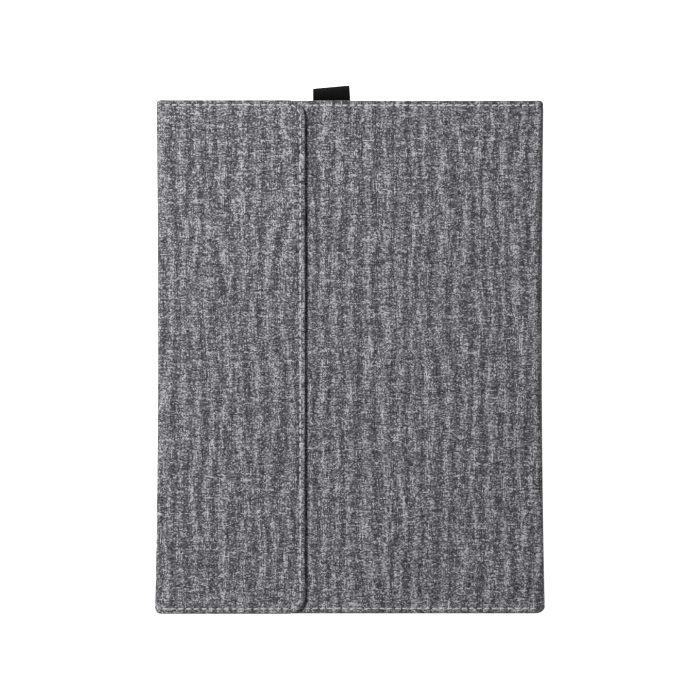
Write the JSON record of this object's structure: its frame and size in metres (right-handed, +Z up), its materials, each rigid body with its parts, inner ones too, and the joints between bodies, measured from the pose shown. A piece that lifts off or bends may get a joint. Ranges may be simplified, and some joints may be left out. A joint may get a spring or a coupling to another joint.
{
  "type": "tablet keyboard case",
  "caption": "Closed folio case of grey heathered fabric for a 10 to 11 inch tablet, with a keyboard inside its cover, a folding stand, a closure flap and a pen loop.",
  "frame": {"origin": "centre of the rear cover's outer face, on the surface the closed case lies on", "axes": "+X from the closure side towards the spine, +Y along the spine towards the end with the pen loop, +Z up through the closed case to the front cover"},
  "size_m": [0.201, 0.2736, 0.0256],
  "materials": {
    "case_fabric": "heathered grey polyester plain weave with slubs",
    "lining_suede": "dark grey microfibre, short nap",
    "hinge_tape": "black woven tape",
    "elastic": "black ribbed elastic strap",
    "stiffener": "pressed fibre board",
    "clip_rubber": "matt black rubber",
    "foam_tape": "closed-cell adhesive foam",
    "keyboard_plastic": "dark grey, fine satin grain",
    "key_plastic": "near-black matt key caps",
    "touchpad_surface": "dark grey, smooth satin",
    "slider_plastic": "light grey satin",
    "light_pipe": "clear milky light pipe",
    "steel": "bare steel",
    "nickel_magnet": "nickel-plated magnet",
    "dome_silicone": "translucent silicone",
    "circuit_film": "clear film with silver tracks",
    "circuit_green": "green solder mask",
    "battery_pouch": "foil pouch"
  },
  "bodies": {
    "rear": {"rear_skin": "case_fabric", "rear_board": "stiffener", "rear_lining": "lining_suede", "rear_spine_crease": "case_fabric", "rear_side_crease": "case_fabric", "stand_hinge_tape": "hinge_tape", "catch_plate": "steel", "rest_pad": "lining_suede"},
    "stand": {"stand_board": "stiffener", "stand_lining": "lining_suede", "stand_back_panel": "lining_suede", "prop_hinge_tape": "hinge_tape", "corner_clip_left": "clip_rubber", "corner_clip_right": "clip_rubber", "end_clip_left": "clip_rubber", "end_clip_right": "clip_rubber"},
    "prop": {"prop_panel": "lining_suede", "prop_foot": "clip_rubber", "prop_magnets": "nickel_magnet"},
    "spine": {"spine_skin": "case_fabric", "spine_board": "stiffener", "spine_lining": "lining_suede"},
    "cover": {"cover_skin": "case_fabric", "cover_board": "stiffener", "cover_lining": "lining_suede", "cover_spine_crease": "case_fabric", "keeper_plates": "steel", "pen_loop": "elastic", "keyboard_pads": "foam_tape", "keyboard_base": "keyboard_plastic", "keyboard_deck": "keyboard_plastic", "dome_sheet": "dome_silicone", "membrane_circuit": "circuit_film", "backing_plate": "steel", "battery": "battery_pouch", "circuit_board": "circuit_green", "charge_port": "steel", "indicator_lights": "light_pipe", "bumpers": "clip_rubber", "keyboard_screws": "steel", "touchpad_switch": "steel"},
    "touchpad": {"touchpad_plate": "touchpad_surface", "touchpad_sensor": "circuit_green"},
    "slider": {"power_slider": "slider_plastic"},
    "function_row": {"function_keys": "key_plastic"},
    "number_row": {"number_keys": "key_plastic"},
    "upper_row": {"upper_letter_keys": "key_plastic"},
    "home_row": {"home_letter_keys": "key_plastic"},
    "lower_row": {"lower_letter_keys": "key_plastic"},
    "modifier_row": {"modifier_keys": "key_plastic"},
    "space": {"space_bar": "key_plastic"},
    "side": {"side_skin": "case_fabric", "side_board": "stiffener", "side_lining": "lining_suede"},
    "flap": {"flap_skin": "case_fabric", "flap_board": "stiffener", "flap_lining": "lining_suede", "flap_magnets": "nickel_magnet", "flap_crease": "case_fabric"}
  },
  "joints": [
    {"name": "spine_fold", "type": "hinge", "parent": "rear", "child": "spine", "pos_m": [0.09979, 0, 0.00071], "axis": [0, 1, 0], "range_deg": [0, 90]},
    {"name": "cover_fold", "type": "hinge", "parent": "spine", "child": "cover", "pos_m": [0.09979, 0, 0.02269], "axis": [0, 1, 0], "range_deg": [0, 90]},
    {"name": "stand_tilt", "type": "hinge", "parent": "rear", "child": "stand", "pos_m": [0.0925, 0, 0.0031], "axis": [0, 1, 0], "range_deg": [0, 63]},
    {"name": "prop_fold", "type": "hinge", "parent": "stand", "child": "prop", "pos_m": [0.0375, 0, 0.0031], "axis": [0, -1, 0], "range_deg": [0, 126]},
    {"name": "side_fold", "type": "hinge", "parent": "rear", "child": "side", "pos_m": [-0.0999, 0, 0.0006], "axis": [0, -1, 0], "range_deg": [0, 90]},
    {"name": "flap_fold", "type": "hinge", "parent": "side", "child": "flap", "pos_m": [-0.0999, 0, 0.025], "axis": [0, -1, 0], "range_deg": [0, 90]},
    {"name": "touchpad_click", "type": "slide", "parent": "cover", "child": "touchpad", "axis": [0, 0, 1], "range_m": [0, 0.0003], "stiffness_N_per_m": 2000, "springref_m": -0.0003},
    {"name": "power_slide", "type": "slide", "parent": "cover", "child": "slider", "axis": [1, 0, 0], "range_m": [0, 0.0024]},
    {"name": "function_press", "type": "slide", "parent": "cover", "child": "function_row", "axis": [0, 0, 1], "range_m": [0, 0.0013], "stiffness_N_per_m": 450, "springref_m": -0.0005, "deforming": ["dome_sheet"]},
    {"name": "number_press", "type": "slide", "parent": "cover", "child": "number_row", "axis": [0, 0, 1], "range_m": [0, 0.0013], "stiffness_N_per_m": 450, "springref_m": -0.0005, "deforming": ["dome_sheet"]},
    {"name": "upper_press", "type": "slide", "parent": "cover", "child": "upper_row", "axis": [0, 0, 1], "range_m": [0, 0.0013], "stiffness_N_per_m": 450, "springref_m": -0.0005, "deforming": ["dome_sheet"]},
    {"name": "home_press", "type": "slide", "parent": "cover", "child": "home_row", "axis": [0, 0, 1], "range_m": [0, 0.0013], "stiffness_N_per_m": 450, "springref_m": -0.0005, "deforming": ["dome_sheet"]},
    {"name": "lower_press", "type": "slide", "parent": "cover", "child": "lower_row", "axis": [0, 0, 1], "range_m": [0, 0.0013], "stiffness_N_per_m": 450, "springref_m": -0.0005, "deforming": ["dome_sheet"]},
    {"name": "modifier_press", "type": "slide", "parent": "cover", "child": "modifier_row", "axis": [0, 0, 1], "range_m": [0, 0.0013], "stiffness_N_per_m": 450, "springref_m": -0.0005, "deforming": ["dome_sheet"]},
    {"name": "space_press", "type": "slide", "parent": "cover", "child": "space", "axis": [0, 0, 1], "range_m": [0, 0.0013], "stiffness_N_per_m": 450, "springref_m": -0.0005, "deforming": ["dome_sheet"]}
  ],
  "couplings": [
    {"joint": "stand_tilt", "follows": "spine_fold", "ratio": 0.7},
    {"joint": "prop_fold", "follows": "spine_fold", "ratio": 1.4}
  ]
}
